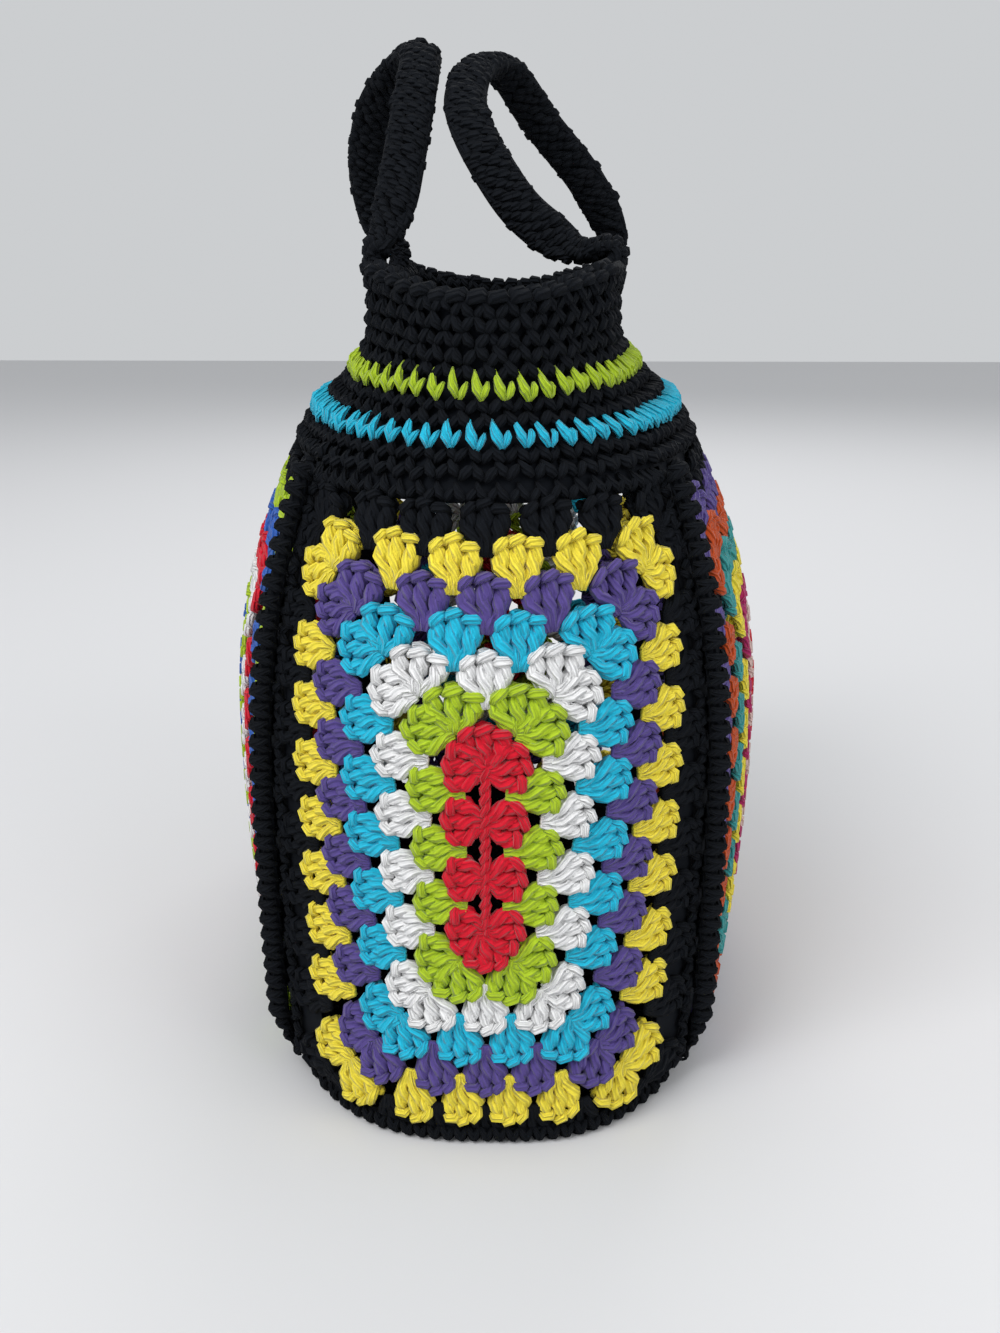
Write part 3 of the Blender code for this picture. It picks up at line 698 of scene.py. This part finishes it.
# %% Base
SEAM_STITCHES, BASE_ROW, BASE_STITCH, BASE_SHEET = 104, 4.9, 6.2, 1.2
UP, INWARD, OUTWARD, STITCH_LEVEL, SHEET_LEVEL = np.array([0.0, 0.0, 1.0]), 6, 5, 3.0, 2.2
points, _, ups, _ = around(0.0, SEAM_STITCHES, 0)
outs = unit(ups * [1.0, 1.0, 0.0])
skein = Skein()
down = np.tile(-UP, (len(points), 1))
short_stitches(skein, points + UP, np.cross(outs, down), outs, down, 0.9, 0.6)
ring = np.concatenate([points, points[:1]])
ring_out = np.concatenate([outs, outs[:1]])
skein.sheet(np.array([ring - ring_out * INWARD, ring, ring + ring_out * OUTWARD + UP / 2]), BACKING, UP)
skein.piece("base_seam_yarn", YARN["black"], "base_seam")

skein = Skein()
end = np.abs(points[:, 1]).max() - 4
for y in np.arange(-end, end, BASE_ROW):
    near = points[np.abs(points[:, 1] - y) < 5]
    half = np.abs(near[:, 0]).max() - 3
    xs = np.arange(-half, half, BASE_STITCH)
    spots = np.stack([xs, np.full_like(xs, y), np.full_like(xs, STITCH_LEVEL)], axis=-1)
    over, ahead, up = (np.tile(direction, (len(xs), 1)) for direction in np.eye(3))
    short_stitches(skein, spots, over, ahead, up, 0.95, 0.5)
fan = np.array([[np.append(point[:2] * share, SHEET_LEVEL) for point in ring] for share in (0.02, 0.5, 1.0)])
skein.sheet(fan, BASE_SHEET, UP)
skein.piece("base_panel_yarn", YARN["black"], "base_panel")
print("base done")

# %% [markdown]
# The handles are narrow straps of dense short stitches. Each stands edge-on where it is sewn to the rim and twists
# until its flat face lies on top. Modelled one by one, such small stitches left stray knobs at the edges. So the
# strap is a flat core that slanting wraps of yarn cover all round, which gives the same close, ropy relief.

# %% Handles
STRAP_THICKNESS, STRAP_PITCH, STRAP_TWIST = 5.5, 2.0, 0.14
WRAPS, WRAP_WIDE, WRAP_THICK, WRAP_SLANT, WRAP_REACH = 7, 4.9, 2.2, 1.3, 0.55
WRAP_YARN, WRAP_WANDER = np.array([0.6, 1.75, 1.75, 0.6]), 0.3
CORE_SHEET, CORE_HALF, CORE_STRAND, CORE_PLACES, FOOT_SINK = 3.4, 5.0, 1.7, (-4.8, -1.6, 1.6, 4.8), [0, 0, 3]
# points of the two straps from the near foot to the far one: across and along from the bag's middle, and up from
# the rim
RIGHT_ROUTE = [(24, -48, 11), (9, -46, 21), (-2, -42, 36), (-8, -34, 48), (-9, -22, 57),
               (-6, -8, 65), (2, 8, 66), (14, 20, 51), (29, 30, 34), (39, 41, 17)]
LEFT_ROUTE = [(-33, -48, 12), (-29, -45, 24), (-26.5, -37, 39), (-24.5, -25, 55), (-24, -8, 68),
              (-27.5, 6, 70), (-35, 18, 65), (-42.5, 27, 55), (-46.5, 36, 39), (-44, 43, 22)]


def smooth_route(points, pitch):
    """Evenly spaced points on a smooth curve through a route's own points."""
    dense = []
    for leg in range(len(points) - 1):
        before, start = points[max(leg - 1, 0)], points[leg]
        end, after = points[leg + 1], points[min(leg + 2, len(points) - 1)]
        t = np.linspace(0, 1, 16, endpoint=False)[:, None]
        dense.append(0.5 * (2 * start + (end - before) * t + (2 * before - 5 * start + 4 * end - after) * t ** 2
                            + (3 * start - before - 3 * end + after) * t ** 3))
    dense = np.concatenate(dense + [points[-1:]])
    way = np.concatenate([[0], np.cumsum(np.linalg.norm(np.diff(dense, axis=0), axis=1))])
    steps = np.linspace(0, way[-1], round(way[-1] / pitch) + 1)
    return np.stack([np.interp(steps, way, dense[:, axis]) for axis in range(3)], axis=-1)


def strap(name, face, route):
    """One handle: a flat core with slanting wraps all round it."""
    sign = 1 if face == "right" else -1
    half, _ = line(CORNER_LENGTH, np.array(2.0))
    feet = [wall(face, np.array(sign * end * STRAP_FOOT_Y / half), np.array(2.0)) + np.array([0, 0, 0.6])
            for end in (-1, 1)]
    rise = np.array([0, 0, STRAP_THICKNESS])
    bend = np.array(route) + np.array([0, 0, RIM_HEIGHT])
    path = smooth_route(np.array([feet[0], feet[0] + rise, *bend, feet[1] + rise, feet[1]]), STRAP_PITCH)
    share = np.linspace(0, 1, len(path))
    tangent = unit(np.gradient(path, axis=0))
    turn = math.pi / 2 * (1 - smooth(np.minimum(share, 1 - share) / STRAP_TWIST))
    ahead = np.where(share < 0.5, -1, 1)
    width = np.stack([-np.cos(turn), sign * ahead * np.sin(turn), 0 * turn], axis=-1)
    width = unit(width - tangent * (width * tangent).sum(axis=1, keepdims=True))
    flat = unit(np.cross(width, tangent))
    skein = Skein()
    for first, shift in ((0, 0), (1, 0.5)):
        picks = np.arange(first, len(path), 2)
        for cell in range(WRAPS):
            angle = (cell + shift + np.linspace(-WRAP_REACH, WRAP_REACH, 4)) * 2 * math.pi / WRAPS
            spots = (path[picks, None] + width[picks, None] * (WRAP_WIDE * np.cos(angle))[:, None]
                     + flat[picks, None] * (WRAP_THICK * np.sin(angle))[:, None]
                     + tangent[picks, None] * np.linspace(-WRAP_SLANT, WRAP_SLANT, 4)[:, None])
            spots = spots + rng.normal(0, WRAP_WANDER, (len(picks), 1, 3))
            facing = (width[picks, None] * (np.cos(angle) / WRAP_WIDE)[:, None]
                      + flat[picks, None] * (np.sin(angle) / WRAP_THICK)[:, None])
            skein.strands(spots, WRAP_YARN * rng.normal(1, 0.1, (len(picks), 1)), unit(facing))
    core = np.concatenate([path[:1] - FOOT_SINK, path, path[-1:] - FOOT_SINK])
    across = np.concatenate([width[:1], width, width[-1:]])
    front = np.concatenate([flat[:1], flat, flat[-1:]])
    skein.sheet(np.stack([core - across * CORE_HALF, core, core + across * CORE_HALF]), CORE_SHEET, front[None])
    for place in CORE_PLACES:
        skein.strands((core + across * place)[None], np.full((1, len(core)), CORE_STRAND), front[None])
    skein.piece(name + "_yarn", YARN["black"], name)


strap("handle_left", "left", LEFT_ROUTE)
strap("handle_right", "right", RIGHT_ROUTE)
print("handles done")

# %% [markdown]
# A plain pale floor with soft studio light, and the camera where the photographer stood: close to the narrow end,
# at the height of the rim, looking a little down. Three large area lights keep the shadows as soft as window light
# does, without lighting a room.

# %% Stage, light and camera
floor_mesh = bpy.data.meshes.new("floor")
floor_mesh.from_pydata([(-3, -3, 0), (3, -3, 0), (3, 3, 0), (-3, 3, 0)], [], [(0, 1, 2, 3)])
floor = bpy.data.objects.new("floor", floor_mesh)
bpy.context.scene.collection.objects.link(floor)
pale = bpy.data.materials.new("pale_floor")
pale.use_nodes = True
pale.node_tree.nodes["Principled BSDF"].inputs["Base Color"].default_value = (0.62, 0.62, 0.63, 1)
pale.node_tree.nodes["Principled BSDF"].inputs["Roughness"].default_value = 0.8
floor_mesh.materials.append(pale)

world = bpy.data.worlds.new("studio")
world.use_nodes = True
world.node_tree.nodes["Background"].inputs["Color"].default_value = (0.86, 0.88, 0.9, 1)
world.node_tree.nodes["Background"].inputs["Strength"].default_value = 0.7
bpy.context.scene.world = world


def softbox(name, place, target, size, watts):
    """A square area light that points at a target."""
    data = bpy.data.lights.new(name, "AREA")
    data.size, data.energy = size, watts
    lamp = bpy.data.objects.new(name, data)
    lamp.location = place
    lamp.rotation_euler = (Vector(target) - Vector(place)).to_track_quat("-Z", "Y").to_euler()
    bpy.context.scene.collection.objects.link(lamp)


softbox("key", (-0.7, -0.9, 1.3), (0, 0, 0.12), 0.9, 17.5)
softbox("fill", (0.9, -0.8, 0.8), (0, 0, 0.12), 1.0, 6)
softbox("back", (0.2, 1.2, 1.2), (0, 0, 0.15), 1.0, 8)

LENS, LOOK_DOWN, LOOK_LEFT = 37.4, math.radians(16.4), 0.025
camera_data = bpy.data.cameras.new("camera")
camera_data.lens = LENS
camera_data.clip_start = 0.01
camera = bpy.data.objects.new("camera", camera_data)
camera.location = (0.0124, -0.473, 0.241)
camera.rotation_euler = (math.pi / 2 - LOOK_DOWN, 0, LOOK_LEFT)
bpy.context.scene.collection.objects.link(camera)
bpy.context.scene.camera = camera
bpy.context.scene.view_settings.view_transform = "Standard"
print("camera at", tuple(camera.location))

# %% [markdown]
# The triangles of all the pieces and of the largest piece are counted. The yarn may stand a little outside the box of
# the solids.

# %% Triangle count
print("triangles", sum(Skein.triangles.values()), "and at most", max(Skein.triangles.values()), "in a piece")
